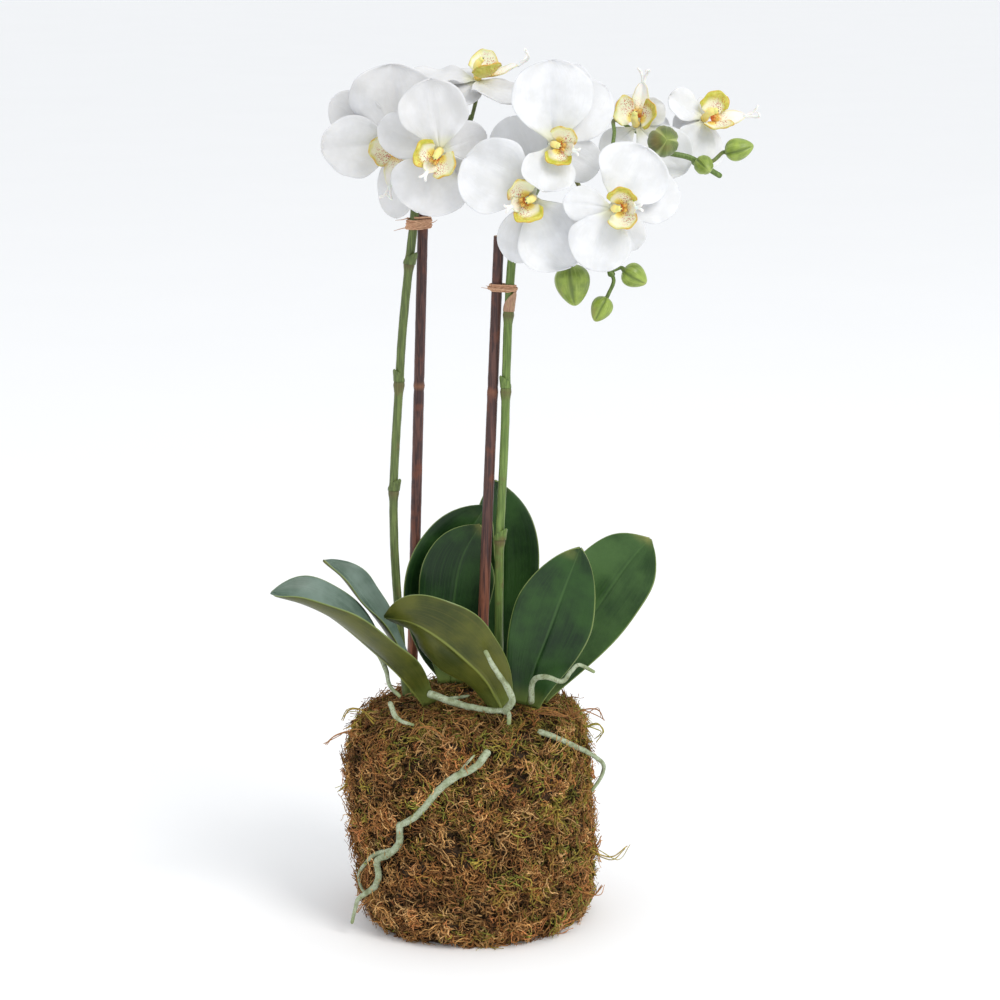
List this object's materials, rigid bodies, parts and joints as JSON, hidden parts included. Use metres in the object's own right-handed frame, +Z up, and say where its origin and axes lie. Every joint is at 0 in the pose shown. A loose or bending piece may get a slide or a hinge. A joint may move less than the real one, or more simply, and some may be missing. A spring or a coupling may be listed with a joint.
{
  "type": "potted orchid",
  "caption": "White moth orchid with two arching flower stems tied to canes, broad green leaves and grey aerial roots, growing in a moss-wrapped root ball that stands on its flat base.",
  "frame": {"origin": "middle of the flat underside of the root ball", "axes": "+Z up, along the stems; -Y is the front, the side most flowers face; the spray of flowers and buds leans towards +X"},
  "size_m": [0.3016, 0.151, 0.5474],
  "materials": {
    "moss": "rough, fibrous dried moss",
    "cane": "stained cane, satin",
    "stem": "smooth living stem, satin",
    "raffia": "dry raffia, matte",
    "leaf": "waxy, semi-gloss",
    "petal": "thin and translucent, matte",
    "lip": "yellow and white with red specks, satin",
    "bud": "waxy, satin",
    "aerial_root": "dry and velvety, matte"
  },
  "bodies": {
    "root": {"aerial_root_front_left": "aerial_root", "aerial_root_left": "aerial_root", "aerial_root_left_short": "aerial_root", "aerial_root_over_front": "aerial_root", "aerial_root_right": "aerial_root", "aerial_root_right_side": "aerial_root", "bud_a": "bud", "bud_b": "bud", "bud_c": "bud", "bud_d": "bud", "bud_e": "bud", "bud_f": "bud", "flower_a_lip": "lip", "flower_a_petals": "petal", "flower_a_sepals": "petal", "flower_b_lip": "lip", "flower_b_petals": "petal", "flower_b_sepals": "petal", "flower_c_lip": "lip", "flower_c_petals": "petal", "flower_c_sepals": "petal", "flower_d_lip": "lip", "flower_d_petals": "petal", "flower_d_sepals": "petal", "flower_e_lip": "lip", "flower_e_petals": "petal", "flower_e_sepals": "petal", "flower_f_lip": "lip", "flower_f_petals": "petal", "flower_f_sepals": "petal", "flower_g_lip": "lip", "flower_g_petals": "petal", "flower_g_sepals": "petal", "flower_h_lip": "lip", "flower_h_petals": "petal", "flower_h_sepals": "petal", "flower_stem_left": "stem", "flower_stem_right": "stem", "leaf_back": "leaf", "leaf_back_left": "leaf", "leaf_back_left_narrow": "leaf", "leaf_front": "leaf", "leaf_front_right": "leaf", "leaf_left": "leaf", "leaf_middle": "leaf", "leaf_right": "leaf", "moss_root_ball": "moss", "stake_left": "cane", "stake_right": "cane", "tie_left": "raffia", "tie_right": "raffia"}
  },
  "joints": []
}
